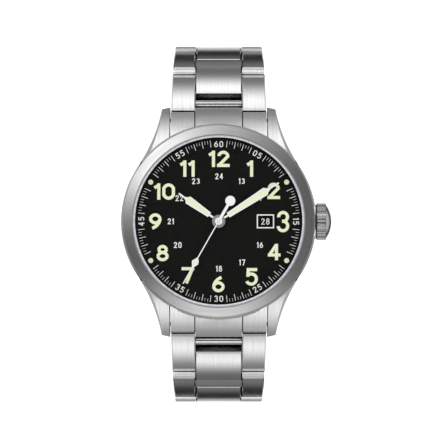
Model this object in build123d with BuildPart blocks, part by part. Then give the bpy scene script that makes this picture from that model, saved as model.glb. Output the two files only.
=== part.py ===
from build123d import *
import os
from math import atan2, cos, degrees, radians, sin, sqrt

os.makedirs("parts", exist_ok=True)

# Frame: the centre of the caseback's flat is the origin, +Z goes out through the crystal,
# +Y points at twelve o'clock and +X at the crown. All lengths are in millimetres.

# Case and lugs
case_radius = 20.0
case_floor_z = 1.2
case_top_z = 7.2
case_edge = 0.35
lug_gap = 20.0
lug_reach = 23.7
lug_root_y = 9.0
lug_root_half_width = 17.6
lug_case_half_width = 15.85
lug_case_y = 12.44
lug_waist_half_width = 13.1
lug_waist_y = 18.2
lug_tip_half_width = 11.75
lug_tip_slant = 0.4
lug_top_z = 7.96
lug_bend_y = 18.9
lug_bend_z = 4.78
lug_tip_z = 2.2
lug_tip_floor_z = -0.9
lug_hollow_y = 17.0
lug_hollow_z = 0.95
lug_hollow_tangent = (-1, 0.2)
lug_strip_width = 0.85
lug_strip_tip_width = 0.06
lug_strip_stations = 6
lug_inner_bevel = 0.18
movement_bore_radius = 15.3
dial_seat_z = 6.3
dial_seat_radius = 17.5
caseback_bore_radius = 15.9
caseback_bore_top_z = 2.6
crown_flat_x = 19.6
crown_flat_half_width = 4.2

# Bezel, crystal and the ring under it
bezel_radius = 19.75
bezel_bore_radius = 17.75
bezel_top_z = 9.0
bezel_edge = 0.18
bezel_slope = 0.35
crystal_radius = 17.5
crystal_floor_z = 8.1
crystal_edge_z = 9.25
crystal_top_z = 9.75
crystal_bevel = 0.42
gasket_clearance = 0.02
rehaut_radius = 17.45
rehaut_opening_radius = 17.05
rehaut_lip = 0.12

# Caseback and its seal
caseback_radius = 17.4
caseback_thread_clearance = 0.05
caseback_wall = 1.3
caseback_thread_gap = 0.1
caseback_edge = 0.5
caseback_notch_count = 6
caseback_notch_width = 2.6
caseback_notch_depth = 1.1
caseback_notch_height = 0.7
seal_inner_radius = 16.3
seal_width = 0.6
seal_height = 0.3

# Dial and what is printed or set on it
dial_radius = 17.3
dial_thickness = 0.4
dial_hole_radius = 1.05
numeral_thickness = 0.12
print_thickness = 0.03
date_window_x = 9.58
date_window_width = 3.07
date_window_height = 2.38
date_frame_width = 0.24
date_frame_thickness = 0.06
hour_numeral_height = 3.35
hour_numeral_width = 2.6
hour_numeral_stroke = 0.64
hour_numeral_gap = 0.4
small_number_height = 1.2
small_number_width = 0.66
small_number_stroke = 0.19
small_number_gap = 0.26
minute_number_height = 1.25
minute_number_width = 0.78
minute_number_stroke = 0.2
minute_number_gap = 0.28
minute_number_radius = 15.85
tick_outer_radius = 16.62
tick_inner_radius = 15.26
tick_short_radius = 15.95
tick_width = 0.12
tick_short_width = 0.07
lume_dot_radius = 0.52
lume_dot_circle_radius = 16.08
lume_dot_angles = (60, 120, 240, 300)
minute_angle = 6

# Hands, and the arbors and tubes that carry them
seconds_arbor_radius = 0.2
running_clearance = 0.05
minute_tube_wall = 0.24
hour_tube_wall = 0.3
hand_thickness = 0.15
hour_hand_z = 7.0
minute_hand_z = 7.3
seconds_hand_z = 7.62
hour_hand_angle = 304.9
minute_hand_angle = 57.4
seconds_hand_angle = 209.7
hour_hand_tip = 9.96
hour_hand_shoulder = 7.67
hour_hand_root = 2.3
minute_hand_tip = 14.6
minute_hand_shoulder = 11.4
minute_hand_root = 2.3
hand_neck_width = 0.42
hand_root_width = 1.1
hand_shoulder_width = 1.7
hand_needle_width = 0.34
hand_frame_width = 0.27
hand_lume_thickness = 0.1
hand_taper_share = 0.6
hand_bend_share = 0.24
hand_bend_reach_share = 0.35
hand_window_point = 0.45
hour_hub_radius = 1.35
minute_hub_radius = 1.15
seconds_hub_radius = 0.75
seconds_tip = 14.7
seconds_needle_width = 0.22
seconds_stem_width = 0.6
seconds_disc_radius = 1.03
seconds_disc_reach = 4.8
seconds_diamond_near = 8.4
seconds_diamond_far = 11.07
seconds_diamond_width = 1.5
seconds_cap_height = 0.3

# Movement
holder_inner_radius = 13.15
holder_floor_z = 2.3
movement_fit = 0.08
plate_radius = 13.0
plate_floor_z = 4.45
plate_thickness = 1.15
date_boss_radius = 7.4
date_boss_height = 0.35
date_rim_radius = 12.5
date_disc_inner_radius = 7.55
date_disc_outer_radius = 12.35
date_disc_thickness = 0.2
date_disc_lift = 0.06
date_number_height = 1.3
date_number_width = 0.74
date_number_stroke = 0.2
date_number_gap = 0.26
date_shown = 28
date_count = 31
hour_wheel_radius = 3.0
hour_wheel_z = 5.3
hour_wheel_pocket_z = 5.2
wheel_thickness = 0.2
wheel_pocket_clearance = 0.2
tooth_depth = 0.22
tooth_corner_shares = [(0.0, 0.0), (0.3, 0.0), (0.45, 1.0), (0.85, 1.0)]
wheel_teeth = {"seconds": 36, "third": 60, "centre": 64, "idler": 30, "hour": 48}
mesh_clearance = 0.06
train_distance = 3.9
train_angle = 120.0
centre_wheel_z = 4.05
third_wheel_z = 3.5
pinion_radius = 0.42
seconds_wheel_z = 2.95
seconds_wheel_radius = 3.3
arbor_radius = 0.16
idler_angle = -20.0
idler_wheel_z = 3.5
idler_wheel_radius = 1.9
rotor_angle = -45.0
rotor_radius = 0.75
battery_edge = 0.25
rotor_height = 0.6
bridge_floor_z = 1.4
bridge_thickness = 0.3
bridge_half_width = 1.2
pillar_radius = 0.7
pillar_places = [(-5.6, 6.2), (6.6, -0.6), (1.6, -5.4)]
battery_radius = 4.75
battery_floor_z = 1.5
battery_height = 2.4
battery_distance = 8.25
battery_angle = 235.0
coil_radius = 1.1
coil_length = 8.0
coil_x = 7.4
coil_y = -7.4
coil_z = 3.35
coil_core_radius = 0.45
coil_core_overhang = 0.9
stator_floor_z = 1.85
stator_thickness = 0.35
stator_half_width = 1.7
stator_foot_radius = 0.42
stator_bore_clearance = 0.25
circuit_thickness = 0.7
circuit_length = 7.0
circuit_width = 4.0
circuit_x = 3.0
circuit_y = 8.6
quartz_radius = 0.65
quartz_length = 5.0

# Crown, its tube, stem and gasket
crown_axis_z = 4.1
crown_radius = 3.8
crown_start_x = 19.85
crown_collar = 0.3
crown_knurl_length = 1.85
crown_bevel_length = 0.25
crown_cap_radius = 3.4
crown_cap_length = 1.0
crown_flute_count = 28
crown_flute_radius = 0.26
tube_radius = 1.4
tube_bore_radius = 0.85
tube_inner_x = 15.6
tube_outer_x = 21.0
gasket_thickness = 0.35
gasket_length = 0.5
gasket_x = 20.3
stem_radius = 0.5
stem_inner_x = 9.2
crown_cavity_end_x = 21.5

# Bracelet: links that turn about pins, each with two outer pieces round a centre piece
link_pitch = 8.6
link_half_height = 1.6
link_end_half_height = 1.36
link_knuckle_radius = 2.15
link_gap = 0.15
link_side_gap = 0.08
link_bevel = 0.2
link_pin_radius = 0.55
link_pin_inset = 0.4
link_outer_near_top = (-1.6, 1.2)
link_outer_near_turn = 0.8
link_outer_far_top = (-3.1, 1.56)
link_outer_far_turn = 1.1
link_centre_near_top = (2.35, 1.34)
link_centre_near_turn = 1.05
link_centre_far_top = (0.0, 1.38)
link_centre_far_turn = 0.45
link_nose_bulge = 0.06
first_pivot_y = 24.45
first_pivot_z = 0.6
first_link_width = 19.6
last_link_width = 15.6
first_centre_width = 9.6
last_centre_width = 8.0
strap_end_shortfall = 2.5
strap_ear_radius = 1.4
upper_link_angles = [28.0, 61.9, 90.0, 113.4, 150.5, 172.0]
lower_link_angles = [28.0, 61.9, 90.0, 113.4, 150.5]

# End links and the spring bars that hold them between the lugs
end_link_fit = 0.12
end_link_case_gap = 0.12
end_link_drop = 0.08
end_link_floor_z = -0.75
end_link_groove_width = 0.24
end_link_groove_depth = 0.35
end_link_shoulder_y = 23.25
end_link_round = 0.55
end_link_knuckle_radius = 0.95
spring_bar_y = 21.0
spring_bar_shoulder_gap = 0.3
spring_bar_z = 2.3
spring_bar_radius = 0.7
spring_bar_tip_radius = 0.4
spring_bar_tip_length = 0.9
spring_bar_hole_depth = 1.2

# Fold-over clasp
clasp_width = 18.0
clasp_wall = 1.0
clasp_outer_z = -37.1
clasp_plate_start_y = 14.1
clasp_wall_start_y = 18.8
clasp_end_y = -22.3
clasp_rim_z = -31.9
clasp_corner = 1.2
clasp_edge = 0.3
adjust_hole_count = 4
adjust_hole_spacing = 2.4
adjust_hole_radius = 0.5
strap_bar_clearance = 0.12
blade_width = 8.0
blade_thickness = 1.0
blade_gap = 0.5
blade_drop = 0.35
blade_knuckle_radius = 1.2
blade_knuckle_gap = 0.2
blade_pin_radius = 0.5
fold_pivot_y = 9.4
cover_pivot_y = -19.3
cover_lug_thickness = 1.2
button_y = -3.0
button_z = -35.0
button_length = 6.0
button_height = 1.6
button_proud = 1.1
button_travel = 0.8
button_fit = 0.12
button_flange = 0.5
button_flange_length = 7.0
button_flange_height = 2.1
button_spring_radius = 0.45
button_spring_wall = 0.15
latch_half_width = 2.6
latch_length = 5.0
latch_gap = 0.3
latch_pin_radius = 0.22
latch_pin_length = 3.0

cut_overrun = 2.0


def export_part(shape, name):
    shape.label = name
    export_step(shape, f"parts/{name}.step")


def on_circle(radius, clock_angle):
    """A point on the dial, with the angle taken clockwise from twelve o'clock."""
    turn = radians(clock_angle)
    return radius * sin(turn), radius * cos(turn)


# Digits, drawn as pen strokes inside a box one wide and one high
arc_strokes = {
    "0": [[(0, 0.7), (0.5, 1), (1, 0.7)], [(1, 0.3), (0.5, 0), (0, 0.3)]],
    "2": [[(0.02, 0.72), (0.5, 1), (0.98, 0.72)]],
    "3": [
        [(0.05, 0.84), (0.95, 0.76), (0.42, 0.54)],
        [(0.42, 0.54), (0.98, 0.27), (0, 0.16)],
    ],
    "5": [[(0.1, 0.56), (1, 0.32), (0, 0.12)]],
    "6": [
        [(0, 0.3), (0.5, 0.6), (1, 0.3)],
        [(1, 0.3), (0.5, 0), (0, 0.3)],
        [(0.82, 1), (0.2, 0.68), (0, 0.3)],
    ],
    "8": [
        [(0.1, 0.77), (0.5, 1), (0.9, 0.77)],
        [(0.9, 0.77), (0.5, 0.54), (0.1, 0.77)],
        [(0, 0.27), (0.5, 0.54), (1, 0.27)],
        [(1, 0.27), (0.5, 0), (0, 0.27)],
    ],
    "9": [
        [(0, 0.7), (0.5, 0.4), (1, 0.7)],
        [(1, 0.7), (0.5, 1), (0, 0.7)],
        [(0.18, 0), (0.8, 0.32), (1, 0.7)],
    ],
}
line_strokes = {
    "0": [[(1, 0.7), (1, 0.3)], [(0, 0.3), (0, 0.7)]],
    "1": [[(1, 1), (1, 0)], [(0.05, 0.84), (0.9, 0.97)]],
    "2": [[(0.93, 0.66), (0.1, 0.06)], [(0, 0), (1, 0)]],
    "4": [[(0.74, 0), (0.74, 1)], [(0.62, 0.94), (0.06, 0.34)], [(0, 0.28), (1, 0.28)]],
    "5": [[(0.16, 1), (0.92, 1)], [(0.16, 1), (0.12, 0.58)]],
    "7": [[(0, 1), (1, 1)], [(0.94, 0.94), (0.4, 0)]],
}
narrow_digit_share = 0.5


def number_sketch(text, height, width, stroke, gap, centre, turn=0.0):
    """Outlines of a number whose middle lies at centre, turned clockwise by turn degrees."""
    widths = [width * narrow_digit_share if digit == "1" else width for digit in text]
    left = -(sum(widths) + gap * (len(text) - 1)) / 2
    pen_height = height - stroke
    with BuildSketch() as number:
        for digit, digit_width in zip(text, widths):
            pen_left = left + stroke / 2
            pen_width = digit_width - stroke
            for points in arc_strokes.get(digit, []):
                pen = [(pen_left + x * pen_width, (y - 0.5) * pen_height) for x, y in points]
                with BuildLine():
                    ThreePointArc(*pen)
                trace(line_width=stroke)
            for (x1, y1), (x2, y2) in line_strokes.get(digit, []):
                run = Vector((x2 - x1) * pen_width, (y2 - y1) * pen_height)
                middle_x = pen_left + (x1 + x2) / 2 * pen_width
                middle_y = ((y1 + y2) / 2 - 0.5) * pen_height
                slant = degrees(atan2(run.Y, run.X))
                with Locations(Location((middle_x, middle_y, 0), (0, 0, slant))):
                    Rectangle(run.length + stroke, stroke)
            left += digit_width + gap
    return number.sketch.moved(Location((*centre, 0), (0, 0, -turn)))


# Case middle with its four lugs
def lug_outline_points():
    tip_y = lug_reach
    return [
        (lug_gap / 2, lug_root_y),
        (lug_root_half_width, lug_root_y),
        (lug_case_half_width, lug_case_y),
        (lug_waist_half_width, lug_waist_y),
        (lug_tip_half_width, tip_y - lug_tip_slant),
        (lug_gap / 2, tip_y),
    ]


def circle_through(first, middle, last):
    """Centre and radius of the circle through three points."""
    (ax, ay), (bx, by), (cx, cy) = first, middle, last
    spread = 2 * (ax * (by - cy) + bx * (cy - ay) + cx * (ay - by))
    a, b, c = ax**2 + ay**2, bx**2 + by**2, cx**2 + cy**2
    x = (a * (by - cy) + b * (cy - ay) + c * (ay - by)) / spread
    y = (a * (cx - bx) + b * (ax - cx) + c * (bx - ax)) / spread
    return x, y, sqrt((ax - x) ** 2 + (ay - y) ** 2)


corner, root, flare, waist, tip_outer, tip_inner = lug_outline_points()
lug_top_line = ((lug_root_y, lug_top_z), (lug_bend_y, lug_bend_z), (lug_reach, lug_tip_z))


def lug_flank_x(y):
    """Half width of the case at a lug's hollow flank."""
    centre_x, centre_y, radius = circle_through(flare, waist, tip_outer)
    return centre_x - sqrt(radius**2 - (y - centre_y) ** 2)


def lug_top_at(y):
    centre_y, centre_z, radius = circle_through(*lug_top_line)
    return centre_z + sqrt(radius**2 - (y - centre_y) ** 2)


def lug_strip_section(share):
    """Where a lug's outer top edge is cut: the place along Y, and the corners of the cut there."""
    y = lug_case_y + (lug_reach + lug_tip_slant - lug_case_y) * share
    width = lug_strip_width + (lug_strip_tip_width - lug_strip_width) * share
    x, z = lug_flank_x(y), lug_top_at(y)
    inner = (x - width - cut_overrun, z + cut_overrun)
    outer = (x + cut_overrun, z + cut_overrun)
    lower = (x + cut_overrun, z - width - cut_overrun)
    return y, (inner, outer, lower)


def on_inner_flank(edge):
    return max(abs((edge @ end).X - lug_gap / 2) for end in (0, 1)) < lug_inner_bevel


with BuildPart() as lug:
    with BuildSketch(Plane.XY.offset(lug_tip_floor_z - cut_overrun)):
        with BuildLine():
            Polyline(tip_outer, tip_inner, corner, root, flare)
            ThreePointArc(flare, waist, tip_outer)
        make_face()
    extrude(amount=case_top_z - lug_tip_floor_z + cut_overrun)
    with BuildSketch(Plane.YZ):
        with BuildLine():
            ThreePointArc(*lug_top_line)
            Line((lug_reach, lug_tip_z), (lug_reach, lug_tip_floor_z))
            Spline(
                (lug_reach, lug_tip_floor_z),
                (lug_hollow_y, lug_hollow_z),
                (lug_root_y, case_floor_z),
                tangents=[lug_hollow_tangent, (-1, 0)],
            )
            Line((lug_root_y, case_floor_z), (lug_root_y, lug_top_z))
        make_face()
    extrude(amount=case_radius + cut_overrun, mode=Mode.INTERSECT)
    for station in range(lug_strip_stations + 1):
        section_y, section_corners = lug_strip_section(station / lug_strip_stations)
        with BuildSketch(Plane.XZ.offset(-section_y)):
            with BuildLine():
                Polyline(*section_corners, close=True)
            make_face()
    loft(mode=Mode.SUBTRACT)
    chamfer(edges().filter_by(GeomType.CIRCLE).filter_by(on_inner_flank), lug_inner_bevel)

with BuildPart() as case_middle:
    with BuildSketch(Plane.XY.offset(case_floor_z)):
        Circle(case_radius)
    extrude(amount=case_top_z - case_floor_z)
    chamfer(edges().filter_by(GeomType.CIRCLE), case_edge)
    add(lug.part)
    add(mirror(lug.part, about=Plane.YZ, mode=Mode.PRIVATE))
    add(mirror(lug.part, about=Plane.XZ, mode=Mode.PRIVATE))
    add(lug.part.rotate(Axis.Z, 180))
    with BuildSketch(Plane.XY.offset(case_floor_z)):
        Circle(caseback_bore_radius)
    extrude(amount=caseback_bore_top_z - case_floor_z, mode=Mode.SUBTRACT)
    with BuildSketch(Plane.XY.offset(case_floor_z)):
        Circle(movement_bore_radius)
    extrude(amount=case_top_z - case_floor_z, mode=Mode.SUBTRACT)
    with BuildSketch(Plane.XY.offset(dial_seat_z)):
        Circle(dial_seat_radius)
    extrude(amount=case_top_z - dial_seat_z, mode=Mode.SUBTRACT)
    with BuildSketch(Plane.YZ.offset(crown_flat_x)):
        with Locations((0, crown_axis_z)):
            Circle(crown_flat_half_width)
    extrude(amount=case_radius - crown_flat_x + cut_overrun, mode=Mode.SUBTRACT)
    with BuildSketch(Plane.YZ):
        with Locations((0, crown_axis_z)):
            Circle(tube_radius)
    extrude(amount=case_radius, mode=Mode.SUBTRACT)
    for side in (-1, 1):
        with BuildSketch(Plane.YZ):
            with Locations((side * spring_bar_y, spring_bar_z)):
                Circle(spring_bar_tip_radius + running_clearance)
        extrude(amount=lug_gap / 2 + spring_bar_hole_depth, both=True, mode=Mode.SUBTRACT)
export_part(case_middle.part, "case_middle")


# Bezel, crystal and the parts round the dial
with BuildPart() as bezel:
    with BuildSketch(Plane.XZ):
        with BuildLine():
            Polyline(
                (bezel_bore_radius, case_top_z),
                (bezel_radius, case_top_z),
                (bezel_radius, bezel_top_z - bezel_slope - bezel_edge),
                (bezel_radius - bezel_edge, bezel_top_z - bezel_slope),
                (bezel_bore_radius, bezel_top_z),
                close=True,
            )
        make_face()
    revolve(axis=Axis.Z)
export_part(bezel.part, "bezel")

with BuildPart() as crystal:
    with BuildSketch(Plane.XZ):
        with BuildLine():
            Line((0, crystal_floor_z), (crystal_radius, crystal_floor_z))
            Line((crystal_radius, crystal_floor_z), (crystal_radius, crystal_edge_z - crystal_bevel))
            Line(
                (crystal_radius, crystal_edge_z - crystal_bevel),
                (crystal_radius - crystal_bevel, crystal_edge_z),
            )
            ThreePointArc(
                (crystal_radius - crystal_bevel, crystal_edge_z),
                (0, crystal_top_z),
                (crystal_bevel - crystal_radius, crystal_edge_z),
            )
            Line((crystal_bevel - crystal_radius, crystal_edge_z), (0, crystal_floor_z))
        make_face()
        with Locations((-crystal_radius, crystal_floor_z)):
            Rectangle(
                crystal_radius,
                crystal_top_z - crystal_floor_z + cut_overrun,
                align=(Align.MIN, Align.MIN),
                mode=Mode.SUBTRACT,
            )
    revolve(axis=Axis.Z)
export_part(crystal.part, "crystal")


def ring(inner_radius, outer_radius, floor_z, height):
    with BuildPart() as shape:
        with BuildSketch(Plane.XY.offset(floor_z)):
            Circle(outer_radius)
            Circle(inner_radius, mode=Mode.SUBTRACT)
        extrude(amount=height)
    return shape.part


gasket_outer = bezel_bore_radius - gasket_clearance
gasket_inner = crystal_radius + gasket_clearance
gasket_height = crystal_edge_z - crystal_bevel - crystal_floor_z
crystal_gasket = ring(gasket_inner, gasket_outer, crystal_floor_z, gasket_height)
export_part(crystal_gasket, "crystal_gasket")

dial_top_z = dial_seat_z + dial_thickness
with BuildPart() as rehaut_ring:
    with BuildSketch(Plane.XZ):
        with BuildLine():
            Polyline(
                (rehaut_opening_radius, dial_top_z),
                (rehaut_radius, dial_top_z),
                (rehaut_radius, crystal_floor_z),
                (rehaut_radius - rehaut_lip, crystal_floor_z),
                (rehaut_opening_radius, dial_top_z + rehaut_lip),
                close=True,
            )
        make_face()
    revolve(axis=Axis.Z)
export_part(rehaut_ring.part, "rehaut_ring")

with BuildPart() as dial:
    with BuildSketch(Plane.XY.offset(dial_seat_z)):
        Circle(dial_radius)
        Circle(dial_hole_radius, mode=Mode.SUBTRACT)
        with Locations((date_window_x, 0)):
            Rectangle(date_window_width, date_window_height, mode=Mode.SUBTRACT)
    extrude(amount=dial_thickness)
export_part(dial.part, "dial")

with BuildPart() as date_frame:
    with BuildSketch(Plane.XY.offset(dial_top_z)):
        with Locations((date_window_x, 0)):
            Rectangle(
                date_window_width + 2 * date_frame_width,
                date_window_height + 2 * date_frame_width,
            )
            Rectangle(date_window_width, date_window_height, mode=Mode.SUBTRACT)
    extrude(amount=date_frame_thickness)
export_part(date_frame.part, "date_frame")

# Hour numerals: the middle of each number on the dial, as shares of the dial's radius
hour_place_shares = {
    "12": (0.006, 0.741),
    "1": (0.371, 0.625),
    "2": (0.652, 0.361),
    "3": (0.761, -0.005),
    "4": (0.657, -0.364),
    "5": (0.389, -0.65),
    "6": (-0.003, -0.743),
    "7": (-0.364, -0.639),
    "8": (-0.664, -0.376),
    "9": (-0.751, -0.002),
    "10": (-0.642, 0.353),
    "11": (-0.371, 0.625),
}
with BuildPart() as hour_numerals:
    with BuildSketch(Plane.XY.offset(dial_top_z)):
        for text, (x_share, y_share) in hour_place_shares.items():
            add(
                number_sketch(
                    text,
                    hour_numeral_height,
                    hour_numeral_width,
                    hour_numeral_stroke,
                    hour_numeral_gap,
                    (x_share * dial_radius, y_share * dial_radius),
                )
            )
        for clock_angle in lume_dot_angles:
            with Locations(on_circle(lume_dot_circle_radius, clock_angle)):
                Circle(lume_dot_radius)
    extrude(amount=numeral_thickness)
export_part(hour_numerals.part, "hour_numerals")

# Printed minute track, minute numbers and the inner afternoon hours
afternoon_place_shares = {
    "13": (0.273, 0.476),
    "14": (0.474, 0.277),
    "16": (0.488, -0.28),
    "17": (0.278, -0.486),
    "18": (0.003, -0.561),
    "19": (-0.272, -0.486),
    "20": (-0.485, -0.28),
    "21": (-0.568, 0.0),
    "22": (-0.466, 0.275),
    "23": (-0.27, 0.476),
    "24": (0.005, 0.534),
}
minute_number_turns = {
    "60": 0,
    "05": 30,
    "15": 90,
    "25": -30,
    "30": 0,
    "35": 30,
    "45": -90,
    "55": -30,
}
ticks_per_minute = 3
with BuildPart() as dial_print:
    with BuildSketch(Plane.XY.offset(dial_top_z)):
        for text, (x_share, y_share) in afternoon_place_shares.items():
            add(
                number_sketch(
                    text,
                    small_number_height,
                    small_number_width,
                    small_number_stroke,
                    small_number_gap,
                    (x_share * dial_radius, y_share * dial_radius),
                )
            )
        for text, turn in minute_number_turns.items():
            add(
                number_sketch(
                    text,
                    minute_number_height,
                    minute_number_width,
                    minute_number_stroke,
                    minute_number_gap,
                    on_circle(minute_number_radius, minute_angle * int(text)),
                    turn,
                )
            )
        for step in range(60 * ticks_per_minute):
            minute = step / ticks_per_minute
            from_label = min(minute % 5, 5 - minute % 5)
            if from_label < 1:
                continue
            whole = step % ticks_per_minute == 0
            inner = tick_inner_radius if whole else tick_short_radius
            width = tick_width if whole else tick_short_width
            middle = (inner + tick_outer_radius) / 2
            with PolarLocations(middle, 1, start_angle=90 - minute_angle * minute):
                Rectangle(tick_outer_radius - inner, width)
    extrude(amount=print_thickness)
export_part(dial_print.part, "dial_print")

# Caseback, its seal and the ring that holds the movement
caseback_thread_radius = caseback_bore_radius - caseback_thread_clearance
caseback_thread_top_z = caseback_bore_top_z - caseback_thread_gap
with BuildPart() as caseback:
    with BuildSketch(Plane.XY):
        Circle(caseback_radius)
    extrude(amount=case_floor_z)
    chamfer(edges().group_by(Axis.Z)[0], caseback_edge)
    with BuildSketch(Plane.XY.offset(case_floor_z)):
        Circle(caseback_thread_radius)
        Circle(caseback_thread_radius - caseback_wall, mode=Mode.SUBTRACT)
    extrude(amount=caseback_thread_top_z - case_floor_z)
    with BuildSketch(Plane.XY.offset(case_floor_z - seal_height)):
        Circle(seal_inner_radius + seal_width)
        Circle(seal_inner_radius, mode=Mode.SUBTRACT)
    extrude(amount=seal_height, mode=Mode.SUBTRACT)
    with BuildSketch(Plane.XY):
        with PolarLocations(caseback_radius - caseback_notch_depth / 2, caseback_notch_count):
            Rectangle(caseback_notch_depth + cut_overrun, caseback_notch_width)
        with BuildSketch(mode=Mode.SUBTRACT):
            Circle(caseback_radius - caseback_notch_depth)
    extrude(amount=caseback_notch_height, mode=Mode.SUBTRACT)
export_part(caseback.part, "caseback")

seal_floor_z = case_floor_z - seal_height
caseback_seal = ring(seal_inner_radius, seal_inner_radius + seal_width, seal_floor_z, seal_height)
export_part(caseback_seal, "caseback_seal")

with BuildPart() as movement_holder:
    with BuildSketch(Plane.XY.offset(holder_floor_z)):
        Circle(movement_bore_radius - movement_fit)
        Circle(holder_inner_radius, mode=Mode.SUBTRACT)
        with BuildSketch(mode=Mode.INTERSECT):
            Circle(caseback_thread_radius - caseback_wall - movement_fit)
    extrude(amount=dial_seat_z - holder_floor_z)
    with BuildSketch(Plane.XY.offset(caseback_bore_top_z)):
        Circle(movement_bore_radius - movement_fit)
        Circle(holder_inner_radius, mode=Mode.SUBTRACT)
    extrude(amount=dial_seat_z - caseback_bore_top_z)
    with BuildSketch(Plane.YZ):
        with Locations((0, crown_axis_z)):
            Circle(tube_radius + running_clearance)
    extrude(amount=case_radius, mode=Mode.SUBTRACT)
export_part(movement_holder.part, "movement_holder")


# Radii of the nested arbors in the middle of the dial
minute_tube_bore = seconds_arbor_radius + running_clearance
minute_tube_radius = minute_tube_bore + minute_tube_wall
hour_tube_bore = minute_tube_radius + running_clearance
hour_tube_radius = hour_tube_bore + hour_tube_wall


def hand_outline(root, shoulder, tip):
    """Right half of a hand that points along +Y, from its root to its needle tip."""
    taper_end = shoulder + (tip - shoulder) * hand_taper_share
    bend_x = hand_needle_width / 2 + (hand_shoulder_width - hand_needle_width) / 2 * hand_bend_share
    bend_y = shoulder + (taper_end - shoulder) * hand_bend_reach_share
    return [
        (hand_neck_width / 2, 0),
        (hand_neck_width / 2, root),
        (hand_root_width / 2, root),
        (hand_shoulder_width / 2, shoulder),
        (bend_x, bend_y),
        (hand_needle_width / 2, taper_end),
        (hand_needle_width / 2, tip),
    ]


def window_points(root, shoulder):
    inset = hand_frame_width
    return [
        (inset - hand_root_width / 2, root + inset),
        (hand_root_width / 2 - inset, root + inset),
        (hand_shoulder_width / 2 - inset, shoulder),
        (0, shoulder + hand_window_point),
        (inset - hand_shoulder_width / 2, shoulder),
    ]


def hand_plane(floor_z, clock_angle):
    return Plane.XY.offset(floor_z).rotated((0, 0, -clock_angle))


def framed_hand(name, floor_z, clock_angle, root, shoulder, tip, hub_radius, bore_radius):
    points = hand_outline(root, shoulder, tip)
    with BuildPart() as hand:
        with BuildSketch(hand_plane(floor_z, clock_angle)):
            with BuildLine():
                Polyline(*points[:4])
                ThreePointArc(*points[3:6])
                Polyline(points[5], points[6], (0, tip))
                Line((0, tip), (0, 0))
                Line((0, 0), points[0])
            make_face()
            mirror(about=Plane.YZ)
            Circle(hub_radius)
            Circle(bore_radius, mode=Mode.SUBTRACT)
            with BuildLine():
                Polyline(*window_points(root, shoulder), close=True)
            make_face(mode=Mode.SUBTRACT)
        extrude(amount=hand_thickness)
    export_part(hand.part, name)
    with BuildPart() as lume:
        with BuildSketch(hand_plane(floor_z, clock_angle)):
            with BuildLine():
                Polyline(*window_points(root, shoulder), close=True)
            make_face()
        extrude(amount=hand_lume_thickness)
    export_part(lume.part, name + "_lume")


framed_hand(
    "hour_hand",
    hour_hand_z,
    hour_hand_angle,
    hour_hand_root,
    hour_hand_shoulder,
    hour_hand_tip,
    hour_hub_radius,
    hour_tube_radius,
)
framed_hand(
    "minute_hand",
    minute_hand_z,
    minute_hand_angle,
    minute_hand_root,
    minute_hand_shoulder,
    minute_hand_tip,
    minute_hub_radius,
    minute_tube_radius,
)

diamond_middle = (seconds_diamond_near + seconds_diamond_far) / 2
diamond_points = [
    (0, seconds_diamond_near),
    (seconds_diamond_width / 2, diamond_middle),
    (0, seconds_diamond_far),
    (-seconds_diamond_width / 2, diamond_middle),
]
diamond_inset_share = 1 - 2 * hand_frame_width / seconds_diamond_width
diamond_window = [
    (x * diamond_inset_share, (y - diamond_middle) * diamond_inset_share)
    for x, y in diamond_points
]
with BuildPart() as seconds_hand:
    with BuildSketch(hand_plane(seconds_hand_z, seconds_hand_angle)):
        with Locations((0, seconds_tip / 2)):
            Rectangle(seconds_needle_width, seconds_tip)
        with Locations((0, -seconds_disc_reach / 2)):
            Rectangle(seconds_stem_width, seconds_disc_reach)
        with Locations((0, -seconds_disc_reach)):
            Circle(seconds_disc_radius)
        Circle(seconds_hub_radius)
        with BuildLine():
            Polyline(*diamond_points, close=True)
        make_face()
        with Locations((0, diamond_middle)):
            Polygon(*diamond_window, align=None, mode=Mode.SUBTRACT)
        Circle(seconds_arbor_radius, mode=Mode.SUBTRACT)
    extrude(amount=hand_thickness)
export_part(seconds_hand.part, "seconds_hand")

with BuildPart() as seconds_hand_lume:
    with BuildSketch(hand_plane(seconds_hand_z, seconds_hand_angle)):
        with Locations((0, diamond_middle)):
            Polygon(*diamond_window, align=None)
    extrude(amount=hand_lume_thickness)
export_part(seconds_hand_lume.part, "seconds_hand_lume")


# Movement: plate, bridge and the train from the rotor to the hands
def polar(distance, angle, centre=(0, 0)):
    return centre[0] + distance * cos(radians(angle)), centre[1] + distance * sin(radians(angle))


third_place = polar(train_distance, train_angle)
idler_place = polar(seconds_wheel_radius + pinion_radius + mesh_clearance, idler_angle)
rotor_place = polar(idler_wheel_radius + pinion_radius + mesh_clearance, rotor_angle, idler_place)
battery_place = polar(battery_distance, battery_angle)
plate_top_z = plate_floor_z + plate_thickness
date_boss_top_z = plate_top_z + date_boss_height
bearing_radius = arbor_radius + running_clearance

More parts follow.
